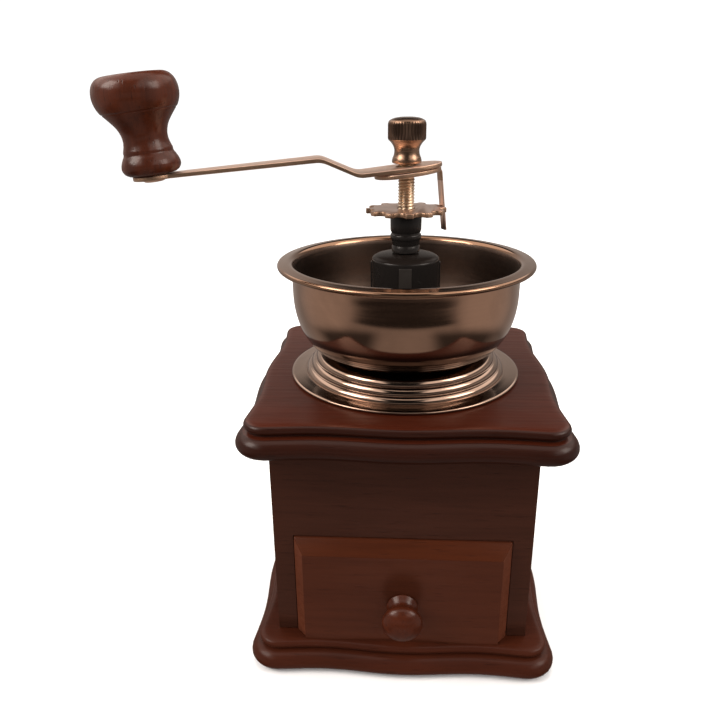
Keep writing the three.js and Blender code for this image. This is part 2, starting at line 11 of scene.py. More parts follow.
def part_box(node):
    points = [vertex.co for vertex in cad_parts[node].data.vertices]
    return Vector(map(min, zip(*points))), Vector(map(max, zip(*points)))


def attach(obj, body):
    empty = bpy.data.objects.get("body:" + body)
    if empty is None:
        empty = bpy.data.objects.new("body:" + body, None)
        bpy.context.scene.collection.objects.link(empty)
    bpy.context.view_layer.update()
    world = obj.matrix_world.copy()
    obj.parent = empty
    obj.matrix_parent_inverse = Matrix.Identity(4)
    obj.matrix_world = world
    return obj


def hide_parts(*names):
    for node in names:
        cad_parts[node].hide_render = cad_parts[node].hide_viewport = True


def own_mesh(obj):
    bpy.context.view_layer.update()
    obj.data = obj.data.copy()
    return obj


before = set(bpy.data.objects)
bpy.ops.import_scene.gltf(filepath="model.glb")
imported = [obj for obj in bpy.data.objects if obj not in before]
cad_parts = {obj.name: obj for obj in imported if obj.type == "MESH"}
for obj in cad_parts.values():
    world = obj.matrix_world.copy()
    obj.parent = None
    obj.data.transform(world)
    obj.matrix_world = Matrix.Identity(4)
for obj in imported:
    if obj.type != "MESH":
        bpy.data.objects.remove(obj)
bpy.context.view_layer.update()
scene = bpy.context.scene
MM = 0.001
MERGE = 1e-6


# ---------- mesh helpers ----------
def offset(x, y, z):
    return Matrix.Translation(Vector((x, y, z)) * MM)


def spin(degrees, axis="Z"):
    return Matrix.Rotation(math.radians(degrees), 4, axis)


def new_object(name, verts, faces, matrix=None):
    mesh = bpy.data.meshes.new(name)
    mesh.from_pydata([Vector(v) * MM for v in verts], [], faces)
    if matrix is not None:
        mesh.transform(matrix)
    obj = bpy.data.objects.new(name, mesh)
    scene.collection.objects.link(obj)
    return obj


def tidy_mesh(obj, sharp=35):
    """Merges doubled vertices, turns the faces outward, and keeps edges over an angle sharp."""
    bm = bmesh.new()
    bm.from_mesh(obj.data)
    bmesh.ops.remove_doubles(bm, verts=bm.verts, dist=MERGE)
    bmesh.ops.recalc_face_normals(bm, faces=bm.faces)
    bm.to_mesh(obj.data)
    bm.free()
    for polygon in obj.data.polygons:
        polygon.use_smooth = True
    obj.data.set_sharp_from_angle(angle=math.radians(sharp))
    return obj


def apply_modifiers(obj):
    """Bakes an object's modifiers into its mesh."""
    bpy.context.view_layer.update()
    graph = bpy.context.evaluated_depsgraph_get()
    baked = bpy.data.meshes.new_from_object(obj.evaluated_get(graph))
    old = obj.data
    obj.modifiers.clear()
    obj.data = baked
    bpy.data.meshes.remove(old)
    return obj


def combine(obj, operation, others):
    """Cuts other solids from one, or joins them to it. The others are used up."""
    for other in others:
        modifier = obj.modifiers.new("combine", "BOOLEAN")
        modifier.operation = operation
        modifier.solver = "EXACT"
        modifier.object = other
    apply_modifiers(obj)
    for other in others:
        bpy.data.objects.remove(other)
    return obj


def cut(obj, *cutters):
    return combine(obj, "DIFFERENCE", cutters)


def bevel(obj, width, segments=2, angle=35):
    """Rounds the edges over an angle, with a modifier."""
    modifier = obj.modifiers.new("bevel", "BEVEL")
    modifier.width = width * MM
    modifier.segments = segments
    modifier.limit_method = "ANGLE"
    modifier.angle_limit = math.radians(angle)
    return obj


def lathe(name, profile, segments=96, closed=False, matrix=None, radius_at=None, sharp=35):
    """A solid of revolution about Z. A profile point on the axis becomes one vertex. A closed
    profile goes round to its first point. radius_at(r, z, angle) may change the radius."""
    verts, rings = [], []
    for r, z in profile:
        if r < 1e-9:
            rings.append([len(verts)])
            verts.append((0, 0, z))
            continue
        ring = []
        for k in range(segments):
            angle = 2 * math.pi * k / segments
            rr = radius_at(r, z, angle) if radius_at else r
            ring.append(len(verts))
            verts.append((rr * math.cos(angle), rr * math.sin(angle), z))
        rings.append(ring)
    faces = []
    for low, high in zip(rings, rings[1:] + ([rings[0]] if closed else [])):
        for k in range(segments):
            n = (k + 1) % segments
            if len(low) == 1:
                faces.append((low[0], high[n], high[k]))
            elif len(high) == 1:
                faces.append((low[k], low[n], high[0]))
            else:
                faces.append((low[k], low[n], high[n], high[k]))
    return tidy_mesh(new_object(name, verts, faces, matrix), sharp)


def arc(cx, cz, radius, start, end, steps, squash=1.0):
    """Points on a circle between two angles in degrees, which squash may flatten."""
    angles = [math.radians(start + (end - start) * i / steps) for i in range(steps + 1)]
    return [(cx + radius * math.cos(a), cz + squash * radius * math.sin(a)) for a in angles]


def smooth_line(points, steps=6):
    """Catmull-Rom curve through the points of a turned profile."""
    out = []
    padded = [points[0]] + list(points) + [points[-1]]
    for a, b, c, d in zip(padded, padded[1:], padded[2:], padded[3:]):
        for i in range(steps):
            t = i / steps
            out.append(tuple(
                0.5 * (2 * q + (r - p) * t + (2 * p - 5 * q + 4 * r - s) * t * t
                       + (3 * q - p - 3 * r + s) * t ** 3)
                for p, q, r, s in zip(a, b, c, d)))
    out.append(tuple(points[-1]))
    return out


def bore(radius, z0, z1):
    return lathe("bore", [(0, z0), (radius, z0), (radius, z1), (0, z1)], 48)


def block(name, low, high, matrix=None):
    (x0, y0, z0), (x1, y1, z1) = low, high
    verts = [(x, y, z) for z in (z0, z1) for x, y in ((x0, y0), (x1, y0), (x1, y1), (x0, y1))]
    faces = [(3, 2, 1, 0), (4, 5, 6, 7), (0, 1, 5, 4), (1, 2, 6, 5), (2, 3, 7, 6), (3, 0, 4, 7)]
    return new_object(name, verts, faces, matrix)


def plate(name, outline, z0, z1, matrix=None):
    """A flat outline given thickness."""
    count = len(outline)
    verts = [(x, y, z0) for x, y in outline] + [(x, y, z1) for x, y in outline]
    faces = [tuple(range(count))[::-1], tuple(range(count, 2 * count))]
    faces += [(i, (i + 1) % count, count + (i + 1) % count, count + i) for i in range(count)]
    return new_object(name, verts, faces, matrix)


def place(obj, material, slot, body, *nodes):
    """Gives a piece its material and the body it rides on, and hides the nodes it replaces. The
    slot is not used.
    """
    obj.data.materials.clear()
    obj.data.materials.append(material)
    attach(obj, body)
    if nodes:
        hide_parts(*nodes)
    return obj


def repaint(obj, material, choose):
    """Gives another material to the faces for which choose(centre in mm, normal) is true."""
    obj.data.materials.append(material)
    for polygon in obj.data.polygons:
        if choose(polygon.center / MM, polygon.normal):
            polygon.material_index = len(obj.data.materials) - 1


# ---------- materials ----------
def feed(tree, socket, value):
    """Links an output to a socket, or sets the socket's own value."""
    if isinstance(value, bpy.types.NodeSocket):
        tree.links.new(value, socket)
    else:
        socket.default_value = value


def math_node(tree, operation, a, b):
    node = tree.nodes.new("ShaderNodeMath")
    node.operation = operation
    for socket, value in zip(node.inputs, (a, b)):
        feed(tree, socket, value)
    return node.outputs[0]


class Nodes:
    """A new material, and short calls for the nodes that its looks are made of."""

    def __init__(self, name):
        self.material = bpy.data.materials.new(name)
        self.material.use_nodes = True
        self.tree = self.material.node_tree
        self.shader = self.tree.nodes["Principled BSDF"]
        self.coords = self.add("ShaderNodeTexCoord").outputs["Object"]

    def add(self, kind, **inputs):
        node = self.tree.nodes.new(kind)
        for key, value in inputs.items():
            feed(self.tree, node.inputs[key.replace("_", " ")], value)
        return node

    def link(self, output, target):
        self.tree.links.new(output, target)

    def scaled(self, scale):
        node = self.add("ShaderNodeMapping", Vector=self.coords, Scale=scale)
        return node.outputs["Vector"]

    def noise(self, vector, scale, detail=4.0, rough=0.55, distortion=0.0):
        return self.add("ShaderNodeTexNoise", Vector=vector, Scale=scale, Detail=detail,
                        Roughness=rough, Distortion=distortion).outputs["Fac"]

    def ramp(self, value, *stops):
        node = self.add("ShaderNodeValToRGB", Fac=value)
        for element, (position, color) in zip(node.color_ramp.elements, stops):
            element.position = position
            element.color = (*color, 1)
        return node.outputs["Color"]

    def grey(self, value, low, high, start=0.3, end=0.7):
        """Turns start to end into low to high, and holds the ends."""
        return self.add("ShaderNodeMapRange", Value=value, From_Min=start, From_Max=end,
                        To_Min=low, To_Max=high).outputs["Result"]

    def mix(self, factor, a, b):
        node = self.tree.nodes.new("ShaderNodeMix")
        node.data_type = "RGBA"
        feed(self.tree, node.inputs[0], factor)
        for socket, color in ((node.inputs[6], a), (node.inputs[7], b)):
            is_plain = not isinstance(color, bpy.types.NodeSocket)
            feed(self.tree, socket, (*color, 1) if is_plain else color)
        return node.outputs[2]

    def bump(self, height, strength, distance, after=None):
        node = self.add("ShaderNodeBump", Height=height, Strength=strength, Distance=distance)
        if after:
            self.link(after, node.inputs["Normal"])
        return node.outputs["Normal"]


def wood(name, along, dark, light, coat=0.22, coat_roughness=0.26, roughness=(0.4, 0.55),
         spread=(0.22, 0.80), figure=1.0):
    """Wood with its grain along one axis: bands of tone, fine fibres, short pores, and lacquer.
    A smaller spread makes the tones more distinct, and figure strengthens fibres and pores."""
    n = Nodes(name)
    scale = [1.0, 1.0, 1.0]
    scale["XYZ".index(along)] = 0.06
    stretched = n.scaled(scale)
    bands = n.noise(stretched, 55, 5, 0.6, 1.2)
    fibres = n.noise(stretched, 620, 3, 0.6)
    pores = n.noise(stretched, 1500, 2, 0.5)
    cloud = n.noise(n.coords, 14, 3)
    tone = n.ramp(bands, (spread[0], dark), (spread[1], light))
    tone = n.mix(n.grey(fibres, 0.0, 0.32 * figure, 0.42, 0.7), tone, [c * 0.6 for c in dark])
    tone = n.mix(n.grey(cloud, 0.0, 0.4), tone, [c * 1.1 for c in light])
    tone = n.mix(n.grey(pores, 0.0, 0.4 * figure, 0.64, 0.72), tone, [c * 0.4 for c in dark])
    n.link(tone, n.shader.inputs["Base Color"])
    n.link(n.grey(fibres, *roughness), n.shader.inputs["Roughness"])
    n.shader.inputs["Coat Weight"].default_value = coat
    n.shader.inputs["Coat Roughness"].default_value = coat_roughness
    n.shader.inputs["Specular IOR Level"].default_value = 0.03
    normal = n.bump(n.grey(pores, 1.0, 0.0, 0.6, 0.75), 0.16 * figure, 0.00025)
    normal = n.bump(n.noise(n.coords, 95, 2), 0.05, 0.0012, normal)
    n.link(normal, n.shader.inputs["Normal"])
    n.link(normal, n.shader.inputs["Coat Normal"])
    return n.material


def metal(name, color, roughness, streak="Z", streak_scale=900, streak_strength=0.12,
          specks=0.0, tarnish=0.25, bump=0.04, painted_shade_below=None):
    """Plated metal: brushing or spinning marks, tarnish clouds, and a few dark pits. It may be
    painted darker below a height as painted shade, given where the darkening is full and where it
    ends, in mm."""
    n = Nodes(name)
    scale = [0.03, 0.03, 0.03]
    scale["XYZ".index(streak)] = 1.0
    marks = n.noise(n.scaled(scale), streak_scale, 4, 0.65)
    cloud = n.noise(n.coords, 38, 5, 0.6, 0.4)
    dull = [c * (1 - tarnish) for c in color]
    tone = n.mix(n.grey(cloud, 0.0, 1.0, 0.42, 0.75), color, dull)
    tone = n.mix(n.grey(marks, 0.0, 0.22), tone, dull)
    level = n.grey(marks, roughness * (1 - streak_strength), roughness * (1 + streak_strength * 2))
    if specks:
        cells = n.add("ShaderNodeTexVoronoi", Vector=n.coords, Scale=210.0, Randomness=1.0)
        spot = n.grey(cells.outputs["Distance"], 1.0, 0.0, 0.05, 0.17)
        few = n.grey(n.noise(n.coords, 31, 2), 0.0, 1.0, 0.60, 0.63)
        spots = math_node(n.tree, "MULTIPLY", spot, few)
        spots = math_node(n.tree, "MULTIPLY", spots, specks)
        tone = n.mix(spots, tone, [c * 0.12 for c in color])
    # Painted shade: the tone is darker towards the bottom, below the given height.
    if painted_shade_below:
        height = n.add("ShaderNodeSeparateXYZ", Vector=n.coords).outputs["Z"]
        amount = n.grey(height, 0.95, 0.0, painted_shade_below[0] * MM, painted_shade_below[1] * MM)
        tone = n.mix(amount, tone, [c * 0.14 + 0.01 for c in color])
    n.link(tone, n.shader.inputs["Base Color"])
    n.link(level, n.shader.inputs["Roughness"])
    n.shader.inputs["Metallic"].default_value = 1.0
    n.link(n.bump(marks, bump, 0.0004), n.shader.inputs["Normal"])
    return n.material


def plastic(name, color, roughness, ior=1.3):
    """Moulded black plastic with a faint mottle and fine dust."""
    n = Nodes(name)
    fine = n.noise(n.coords, 900, 3)
    dust = n.noise(n.coords, 60, 5, 0.7)
    n.link(n.mix(n.grey(dust, 0.0, 0.25, 0.5, 0.8), color, [c * 2.0 + 0.002 for c in color]),
           n.shader.inputs["Base Color"])
    n.link(n.grey(dust, roughness, roughness + 0.16), n.shader.inputs["Roughness"])
    n.shader.inputs["IOR"].default_value = ior
    n.link(n.bump(fine, 0.05, 0.0002), n.shader.inputs["Normal"])
    return n.material


# The top board's wood comes in two copies: painted shade on its nose, lip and underside, and
# painted light on its upward faces.
top_wood_painted_shade = wood("top_wood_painted_shade", "X", (0.0125, 0.0028, 0.0013), (0.0260, 0.0059, 0.0026), coat=0.36)
top_wood_painted_light = wood("top_wood_painted_light", "X", (0.028, 0.0051, 0.0019), (0.054, 0.0098, 0.0037),
                     coat=0.45)
# The base board's wood is painted lighter than the top board's, as painted light that makes up for
# the shade the top board casts on it.
base_wood_painted_light = wood("base_wood_painted_light", "X", (0.026, 0.0058, 0.0024), (0.052, 0.0118, 0.0050))
panel_wood = wood("panel_wood", "X", (0.027, 0.0086, 0.0048), (0.040, 0.0127, 0.0072))
side_wood = wood("side_wood", "Y", (0.030, 0.0094, 0.0052), (0.045, 0.0140, 0.0078))
drawer_wood = wood("drawer_wood", "X", (0.036, 0.0090, 0.0042), (0.054, 0.0140, 0.0064))
drawer_bevel = wood("drawer_bevel", "X", (0.038, 0.0078, 0.0020), (0.064, 0.0136, 0.0036),
                    coat=0.12)
drawer_edge = wood("drawer_edge", "X", (0.058, 0.0160, 0.0078), (0.096, 0.0270, 0.0130),
                   coat=0.2)
turned_wood = wood("turned_wood", "Z", (0.010, 0.0025, 0.0012), (0.071, 0.0150, 0.0054), coat=0.46,
                   coat_roughness=0.22, spread=(0.38, 0.66), figure=1.3)
knob_wood = wood("knob_wood", "Y", (0.022, 0.0046, 0.0018), (0.064, 0.0135, 0.0050), coat=0.4,
                 coat_roughness=0.2, spread=(0.34, 0.68))
plain_wood = wood("plain_wood", "Y", (0.30, 0.17, 0.085), (0.46, 0.29, 0.16), coat=0.0,
                  roughness=(0.6, 0.8), figure=1.6)
# The bowl's bottom is painted darker, as painted shade that dims the ring's reflection there.
bowl_metal = metal("bowl_metal", (0.41, 0.253, 0.178), 0.11, specks=0.9, bump=0.012,
                   painted_shade_below=(137.8, 140.0))
rim_metal_painted_shade = metal("rim_metal_painted_shade", (0.265, 0.160, 0.104), 0.13, bump=0.012)
bowl_inside_painted_shade = metal("bowl_inside_painted_shade", (0.170, 0.123, 0.098), 0.34, tarnish=0.4, bump=0.02)
ring_metal = metal("ring_metal", (0.335, 0.240, 0.186), 0.12, streak_strength=0.2)
arm_metal = metal("arm_metal", (0.90, 0.64, 0.50), 0.34, streak="X", streak_scale=500, bump=0.08)
disc_metal = metal("disc_metal", (0.72, 0.53, 0.435), 0.30, bump=0.08)
sheared_metal = metal("sheared_metal", (0.46, 0.300, 0.205), 0.36, streak_scale=2600,
                      tarnish=0.55, bump=0.35)
nut_metal = metal("nut_metal", (0.25, 0.158, 0.108), 0.27, tarnish=0.4)
knurl_metal_painted_shade = metal("knurl_metal_painted_shade", (0.105, 0.068, 0.050), 0.42, tarnish=0.5)
thread_metal = metal("thread_metal", (0.64, 0.52, 0.38), 0.30, tarnish=0.4)
zinc = metal("zinc", (0.52, 0.50, 0.46), 0.32, tarnish=0.35)
iron = metal("iron", (0.26, 0.25, 0.24), 0.42, tarnish=0.4, bump=0.1)
black = plastic("black", (0.013, 0.0108, 0.0096), 0.16)
black_top_painted_shade = plastic("black_top_painted_shade", (0.011, 0.0080, 0.0066), 0.16, 1.1)
black_painted_sheen = plastic("black_painted_sheen", (0.026, 0.0215, 0.0185), 0.24)

# ---------- boards ----------
WAVE, WAVE_LENGTH = 0.95, 64.0
CORNER, CORE_INSET = 7.5, 4.8
BOARD_HEIGHT = 14.5
SOLID_CENTRE = 12.0


def wave(t):
    return WAVE * math.cos(2 * math.pi * t / WAVE_LENGTH)


def wavy_outline(half, inset):
    """A square with rounded corners whose sides bulge in the middle and again at the corners.
    It is laid out at the core's inset and grown from there, so its corners are rounder outside."""
    steps, corner_steps = 40, 9
    grow = CORE_INSET - inset
    half -= CORE_INSET
    reach = half - CORNER
    radius = CORNER + grow
    centre = reach + wave(reach)
    points = []
    for side in range(4):
        turn = side * math.pi / 2

        def put(x, y):
            points.append((x * math.cos(turn) - y * math.sin(turn),
                           x * math.sin(turn) + y * math.cos(turn)))

        for i in range(steps + 1):
            t = -reach + 2 * reach * i / steps
            put(half + grow + wave(t), t)
        for i in range(1, corner_steps):
            angle = math.pi / 2 * i / corner_steps
            put(centre + radius * math.cos(angle), centre + radius * math.sin(angle))
    return points


# The boards' edge as (inset from the outline, height): a bull nose below, a smaller lip above.
NOSE = (
    [(9.5, 0.0)]
    + [(7.0 * (1 - math.cos(a)), 4.85 * (1 - math.sin(a)))
       for a in [math.radians(90 - 9 * i) for i in range(11)]]
    + [(4.6 * (1 - math.cos(a)), 4.85 * (1 + math.sin(a)))
       for a in [math.radians(9 * i) for i in range(1, 10)]]
)
LIP = (
    [(5.05, 9.95), (5.2, 10.3), (5.0, 10.7), (4.6, 10.95)]
    + [(5.2 - 1.6 * math.cos(a), 12.55 + 1.75 * math.sin(a))
       for a in [math.radians(-62 + 15 * i) for i in range(10)]]
    + [(6.4, 14.45), (8.0, 14.5)]
)


def board(name, z, half, shift=0.0, hole=None):
    """Sweeps the edge's profile round the wavy outline. The flat faces run in to a circle, which
    is the rim of the hole, or is filled where there is none."""
    outlines = [[(x + shift, y, z + dz) for x, y in wavy_outline(half, inset)]
                for inset, dz in NOSE + LIP]
    count = len(outlines[0])
    radius = hole or SOLID_CENTRE
    angles = [math.atan2(y, x) for x, y, _ in outlines[0]]
    bottom, top = ([(radius * math.cos(a), radius * math.sin(a), height) for a in angles]
                   for height in (z, z + BOARD_HEIGHT))
    outlines = [bottom, *outlines, top]
    verts = [v for ring in outlines for v in ring]
    faces = []
    rings = len(outlines)
    for r in range(rings if hole else rings - 1):
        low, high = r * count, (r + 1) % rings * count
        faces += [(low + i, low + (i + 1) % count, high + (i + 1) % count, high + i)
                  for i in range(count)]
    if not hole:
        faces.append(tuple(range(count))[::-1])
        faces.append(tuple(range((rings - 1) * count, rings * count)))
    return tidy_mesh(new_object(name, verts, faces), 50)


BASE_SCREWS = [(-49, -30), (49, -30), (-49, 30), (49, 30)]


def screw_recess(x, y):
    profile = [(0, -1), (3.7, -1), (3.7, 0.95), (1.9, 3.2), (1.9, 16), (0, 16)]
    return lathe("recess", profile, 48, matrix=offset(x, y, 0))


base = board("base_board_wood", z=0.0, half=65.0)
cut(base, *[screw_recess(x, y) for x, y in BASE_SCREWS])
place(tidy_mesh(base, 50), base_wood_painted_light, "dark_wood", "case", "base_board")
top = board("top_board_wood", z=101.9, half=65.5, shift=0.6, hole=23.0)
place(top, top_wood_painted_shade, "dark_wood", "case", "top_board")
# Painted light: the upward faces get the lighter copy of the top board's wood.
repaint(top, top_wood_painted_light, lambda at, facing: facing.z > 0.95)

# ---------- carried-over CAD nodes ----------
# Each with its material, and the width in mm that its edges are rounded by.
CARRIED = {
    "front_panel": (panel_wood, 0.5), "back_panel": (panel_wood, 0.5),
    "left_panel": (side_wood, 0.4), "right_panel": (side_wood, 0.4),
    "drawer_runner_left": (plain_wood, 0.4), "drawer_runner_right": (plain_wood, 0.4),
    "drawer_side_left": (plain_wood, 0.5), "drawer_side_right": (plain_wood, 0.5),
    "drawer_back": (plain_wood, 0.5), "drawer_bottom": (plain_wood, 0.3),
    "burr_housing": (iron, 0.3), "housing_nut": (iron, 0.4), "outer_burr": (iron, 0),
    "inner_burr": (iron, 0), "burr_washer": (zinc, 0.2), "burr_nut": (zinc, 0.3),
}
for name, (material, width) in CARRIED.items():
    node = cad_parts[name]
    node.data.materials.clear()
    node.data.materials.append(material)
    if width:
        bevel(node, width)

# ---------- drawer ----------
DRAWER_HALF, DRAWER_LOW, DRAWER_HIGH = 44.68, 14.8, 62.35
DRAWER_BACK, DRAWER_SHOULDER, DRAWER_FACE = -45.8, -53.8, -58.8
FIELD_INSET, FIELD_HIGH = 4.5, 56.2
KNOB_X, KNOB_Z = 0.4, 33.0


def drawer_front():
    """A slab whose raised field is reached by a bevel at the top and the two sides."""
    loops = []
    for y, inset, high in ((DRAWER_BACK, 0, DRAWER_HIGH), (DRAWER_SHOULDER, 0, DRAWER_HIGH),
                           (DRAWER_FACE, FIELD_INSET, FIELD_HIGH)):
        x = DRAWER_HALF - inset
        loops.append([(-x, y, DRAWER_LOW), (x, y, DRAWER_LOW), (x, y, high), (-x, y, high)])
    verts = [v for loop in loops for v in loop]
    faces = [(0, 1, 2, 3), (11, 10, 9, 8)]
    for low in (0, 4):
        faces += [(low + i, low + (i + 1) % 4, low + 4 + (i + 1) % 4, low + 4 + i)
                  for i in range(4)]
    obj = bevel(new_object("drawer_front_wood", verts, faces), 0.55, 3, 20)
    return tidy_mesh(apply_modifiers(obj), 60)


drawer = place(drawer_front(), drawer_wood, "dark_wood", "drawer", "drawer_front")
# The slopes to the raised field are painted lighter than it, the upper one less than the others.
repaint(drawer, drawer_edge, lambda at, facing: -0.99 < facing.y < -0.3)
repaint(drawer, drawer_bevel, lambda at, facing: -0.99 < facing.y < -0.3 and facing.z > 0.3)

knob_profile = (
    [(0, 0), (6.1, 0)]
    + smooth_line([(6.4, 0.2), (6.5, 0.7), (5.9, 1.5), (5.1, 2.6), (4.6, 3.8), (4.75, 5.0),
                   (5.5, 5.8)], 4)[:-1]
    + arc(0, 9.8, 8.2, -55, 84, 30, 4.6 / 8.2)
    + [(0, 14.42)]
)
knob = lathe("drawer_knob_turned", knob_profile, 96,
             matrix=offset(KNOB_X, DRAWER_FACE - 0.2, KNOB_Z) @ spin(90, "X"))
place(knob, knob_wood, "dark_wood", "drawer", "drawer_knob")


def screw(name, head, shank, length, matrix, crossed=False):
    """A screw with its head's seat at z 0 and its thread below. The head is domed with a slot,
    or countersunk with a cross. head and shank are radii."""
    if crossed:
        seat = [(head, 0.0), (head, -0.25), (shank, -head + shank - 0.25)]
        crown = [(head - 0.15, 0.12), (0, 0.12)]
        slot_floor, reach = -0.98, head * 0.62
    else:
        seat = [(head * 0.96, 0.0), (shank, 0.0)]
        crown = arc(0, 0.5, head, 0, 90, 9, 1.7 / head)[:-1] + [(0, 2.2)]
        slot_floor, reach = 1.35, head * 1.1
    pitch, depth, slot_half, above = 0.9, 0.32, 0.42, 6
    ridges = []
    for i in range(int((length - 5) / pitch)):
        z = -4.2 - i * pitch
        ridges += [(shank, z), (shank - depth, z - pitch / 2)]
    tip = [(shank * 0.4, -length + 0.3), (0, -length)]
    obj = lathe(name, list(reversed(seat + ridges + tip)) + crown, 40, sharp=30)
    slots = [block("slot", (-reach, -slot_half, slot_floor), (reach, slot_half, above))]
    if crossed:
        slots.append(block("slot", (-slot_half, -reach, slot_floor), (slot_half, reach, above)))
    cut(obj, *slots)
    obj.data.transform(matrix)
    return tidy_mesh(obj, 30)


# The screws' slots point in unlike directions, as on a real one. These turns are in radians.
inward = offset(KNOB_X, -45.2, KNOB_Z) @ spin(-90, "X") @ Matrix.Rotation(0.5, 4, "Z")
place(screw("drawer_knob_screw_slotted", 3.6, 1.7, 14.4, inward),
      zinc, "plain_steel", "drawer", "drawer_knob_screw")
for i, (x, y) in enumerate(BASE_SCREWS):
    upward = offset(x, y, 0.75) @ spin(180, "X") @ Matrix.Rotation(0.7 + i, 4, "Z")
    place(screw(f"base_screw_cross_{i + 1}", 3.3, 1.6, 31.0, upward, crossed=True),
          zinc, "plain_steel", "case", f"base_screw_{i + 1}")

# ---------- stepped ring ----------
STEP_ROUND = 2.4
ring_steps = [(43.6 - 2.2 * i, 118.2 + 2.8 * i) for i in range(3)]
ring_profile = (
    [(38.0, 116.7), (49.6, 116.7)]
    + arc(49.75, 117.25, 0.55, -80, 60, 6)
    + [(49.0, 117.84), (46.6, 118.02), (44.6, 118.2), (43.9, 118.36)]
    + [point for i, (r, z) in enumerate(ring_steps)
       for point in arc(r - STEP_ROUND, z, STEP_ROUND, 2 if i == 0 else -8, 84, 12)]
    + [(36.2, 126.55), (35.0, 126.75), (34.3, 127.1), (33.6, 127.45), (21.0, 127.5), (21.0, 126.4),
       (33.0, 126.3), (35.8, 125.4), (38.2, 123.0), (40.4, 120.2), (41.2, 117.9), (38.0, 117.8)]
)
ring = lathe("stepped_ring_spun", ring_profile, 192, closed=True, sharp=40)
place(ring, ring_metal, "bronze_plating", "case", "stepped_ring")


# ---------- bowl ----------
BOWL_HOLE, BOWL_UNDERSIDE, BOWL_WALL = 16.5, 127.8, 1.0
RIM_START, RIM_TURN = 164.4, 165.2


def bowl_curve(inset):
    """A quarter of an ellipse, from the flat bottom up to the straight part of the wall."""
    steps = 30
    return [(33.4 + (14.9 - inset) * math.cos(a), 153.8 + (26 - inset) * math.sin(a))
            for a in [math.radians(-90 + 90 * i / steps) for i in range(steps + 1)]]


bowl_profile = (
    [(BOWL_HOLE, BOWL_UNDERSIDE)]
    + bowl_curve(0)
    + [(48.35, 158.0), (48.4, 162.4), (48.6, 163.9), (49.2, 164.8), (50.2, 165.15), (52.3, 165.2)]
    + arc(53.4, 165.3, 1.1, 200, 448, 20)
    + [(52.5, 166.48), (51.3, 166.66), (50.3, 166.78), (49.5, 166.78), (48.8, 166.56),
       (48.2, 166.05), (47.7, 165.1), (47.4, 163.4), (47.35, 158.0)]
    + list(reversed(bowl_curve(BOWL_WALL)))
    + [(BOWL_HOLE, BOWL_UNDERSIDE + BOWL_WALL)]
)
bowl = lathe("hopper_bowl_spun", bowl_profile, 224, closed=True, sharp=50)
place(bowl, bowl_metal, "bronze_plating", "case", "hopper_bowl")
# The rim is painted darker than the rest of the bowl, as painted shade.
repaint(bowl, rim_metal_painted_shade, lambda at, facing: at.z > RIM_START)
# The inside is duller, and painted darker as painted shade.
repaint(bowl, bowl_inside_painted_shade, lambda at, facing: at.z < RIM_TURN and (
    facing.z > 0.5 or facing.x * at.x + facing.y * at.y < 0))

# ---------- bearing bridge and sleeve ----------
BRIDGE_RADIUS = 14.4
WINDOW_TURNS = (90, 210, 330)
RIBS = ((-90, 2.6, 0.12), (0, 1.1, 0.45), (180, 1.1, 0.45))
SCREW_CIRCLE, SCREW_SEAT = 26, 131.6
SCREW_TURNS = (30, 150, 270)

bridge_profile = (
    [(12.0, 129.1), (29.3, 129.1), (29.5, 129.4), (29.5, 130.7), (29.2, 131.15), (28.7, 131.3),
     (16.0, 131.3), (14.9, 131.7), (14.45, 132.6), (BRIDGE_RADIUS, 134.0), (BRIDGE_RADIUS, 150.0),
     (BRIDGE_RADIUS, 165.6)]
    + arc(12.9, 166.3, 1.5, 0, 60, 6)
    + [(12.9, 168.05), (12.0, 168.4), (10.0, 168.75), (7.4, 169.15), (3.9, 169.25), (3.9, 163.6),
       (10.8, 163.6), (12.0, 162.4)]
)
bridge = lathe("bearing_bridge_moulded", bridge_profile, 160, closed=True, sharp=40)
windows = [block("window", (8.4, -7.0, 133.6), (15.8, 7.0, 149.0), spin(turn))
           for turn in WINDOW_TURNS]
for window in windows:
    apply_modifiers(bevel(window, 1.2, 3))
cut(bridge, *windows)
place(tidy_mesh(bevel(bridge, 0.25, 2, 50), 40), black, "black_plastic", "case", "bearing_bridge")
# The top faces get a darker black, which is painted shade that tones down their sheen, and a lower
# IOR.
repaint(bridge, black_top_painted_shade, lambda at, facing: facing.z > 0.5 and at.z > 160)
# The front rib is wide and flat, with a painted sheen that makes it lighter than the black around
# it, and the two at the sides are narrow.
for i, (turn, half, depth) in enumerate(RIBS):
    rib = block(f"bridge_rib_{i + 1}", (13.9, -half, 131.6), (BRIDGE_RADIUS + depth, half, 165.4),
                spin(turn))
    place(tidy_mesh(apply_modifiers(bevel(rib, 0.3, 3)), 60), black if i else black_painted_sheen,
          "black_plastic", "case")

sleeve_profile = [
    (3.85, 169.6), (5.6, 169.6), (5.85, 169.85), (5.85, 172.2), (5.6, 172.5), (5.6, 172.9),
    (5.85, 173.2), (5.85, 174.6), (6.0, 174.9), (6.35, 175.2), (6.5, 175.7), (6.5, 176.7),
    (6.35, 177.2), (6.05, 177.45), (6.0, 177.9), (6.3, 178.3), (6.5, 179.0), (6.58, 185.2),
    (6.35, 185.7), (3.85, 185.7),
]
place(lathe("bearing_sleeve_turned", sleeve_profile, 96, closed=True, sharp=40), black,
      "black_plastic", "case", "bearing_sleeve")

for i, turn in enumerate(SCREW_TURNS):
    x, y = (SCREW_CIRCLE * f(math.radians(turn)) for f in (math.cos, math.sin))
    downward = offset(x, y, SCREW_SEAT) @ Matrix.Rotation(0.9 + 1.7 * i, 4, "Z")
    place(screw(f"bridge_screw_slotted_{i + 1}", 3.2, 1.6, 9.8, downward),
          zinc, "plain_steel", "case", f"bridge_screw_{i + 1}")

# ---------- shaft, spring and star disc ----------
THREAD_RADIUS, THREAD_DEPTH, THREAD_PITCH = 3.5, 0.5, 1.25


